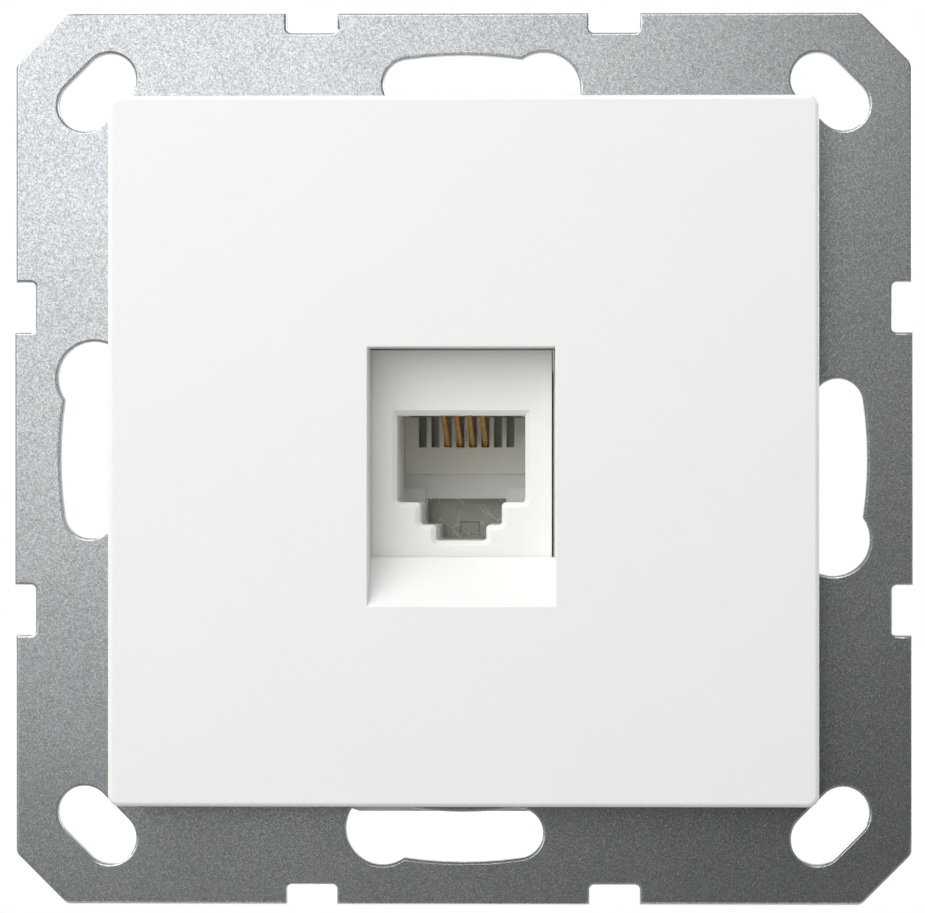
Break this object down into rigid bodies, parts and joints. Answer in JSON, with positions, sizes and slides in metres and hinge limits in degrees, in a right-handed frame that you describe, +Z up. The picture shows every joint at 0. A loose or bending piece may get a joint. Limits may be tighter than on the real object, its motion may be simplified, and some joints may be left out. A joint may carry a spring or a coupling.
{
  "type": "modular jack wall socket",
  "caption": "Flush wall socket insert: square white plate with a window and ramp, a stepped modular jack with spring contacts, a steel support frame and rear terminals.",
  "frame": {"origin": "middle of the support frame's back face, in the plane of the wall", "axes": "+X right, +Y into the wall, +Z up; the cover plate faces -Y"},
  "size_m": [0.0712, 0.0315, 0.0706],
  "materials": {
    "plate_plastic": "smooth satin white moulding",
    "zinc_steel": "zinc-plated sheet with fine spangle",
    "rivet_steel": "plated",
    "carrier_plastic": "matt white moulding",
    "jack_plastic": "fine matt white moulding",
    "comb_plastic": "matt off-white moulding",
    "gold_wire": "gold-plated spring wire",
    "board_laminate": "glass laminate with solder mask",
    "terminal_plastic": "matt white moulding",
    "tinned_blade": "tin-plated bronze",
    "cover_plastic": "glossy natural plastic, slightly scuffed",
    "cap_plastic": "matt white moulding"
  },
  "bodies": {
    "socket": {"cover_plate": "plate_plastic", "support_frame": "zinc_steel", "frame_rivets": "rivet_steel", "carrier": "carrier_plastic", "jack_housing": "jack_plastic", "contact_comb": "comb_plastic", "circuit_board": "board_laminate", "terminal_block": "terminal_plastic", "terminal_blade_1": "tinned_blade", "terminal_blade_2": "tinned_blade", "terminal_blade_3": "tinned_blade", "terminal_blade_4": "tinned_blade", "rear_cover": "cover_plastic"},
    "cap_left": {"terminal_cap_left": "cap_plastic"},
    "cap_right": {"terminal_cap_right": "cap_plastic"},
    "contact_1": {"contact_wire_1": "gold_wire"},
    "contact_2": {"contact_wire_2": "gold_wire"},
    "contact_3": {"contact_wire_3": "gold_wire"},
    "contact_4": {"contact_wire_4": "gold_wire"}
  },
  "joints": [
    {"name": "contact_1_flex", "type": "hinge", "parent": "socket", "child": "contact_1", "pos_m": [-0.00152, -0.0033, 0.00565], "axis": [1, 0, 0], "range_deg": [0, 5], "stiffness_Nm_per_rad": 0.05, "springref_deg": -2.86},
    {"name": "contact_2_flex", "type": "hinge", "parent": "socket", "child": "contact_2", "pos_m": [-0.00051, -0.0033, 0.00565], "axis": [1, 0, 0], "range_deg": [0, 5], "stiffness_Nm_per_rad": 0.05, "springref_deg": -2.86},
    {"name": "contact_3_flex", "type": "hinge", "parent": "socket", "child": "contact_3", "pos_m": [0.00051, -0.0033, 0.00565], "axis": [1, 0, 0], "range_deg": [0, 5], "stiffness_Nm_per_rad": 0.05, "springref_deg": -2.86},
    {"name": "contact_4_flex", "type": "hinge", "parent": "socket", "child": "contact_4", "pos_m": [0.00152, -0.0033, 0.00565], "axis": [1, 0, 0], "range_deg": [0, 5], "stiffness_Nm_per_rad": 0.05, "springref_deg": -2.86},
    {"name": "cap_left_lift", "type": "slide", "parent": "socket", "child": "cap_left", "axis": [0, 0, 1], "range_m": [0, 0.008]},
    {"name": "cap_right_lift", "type": "slide", "parent": "socket", "child": "cap_right", "axis": [0, 0, 1], "range_m": [0, 0.008]}
  ]
}
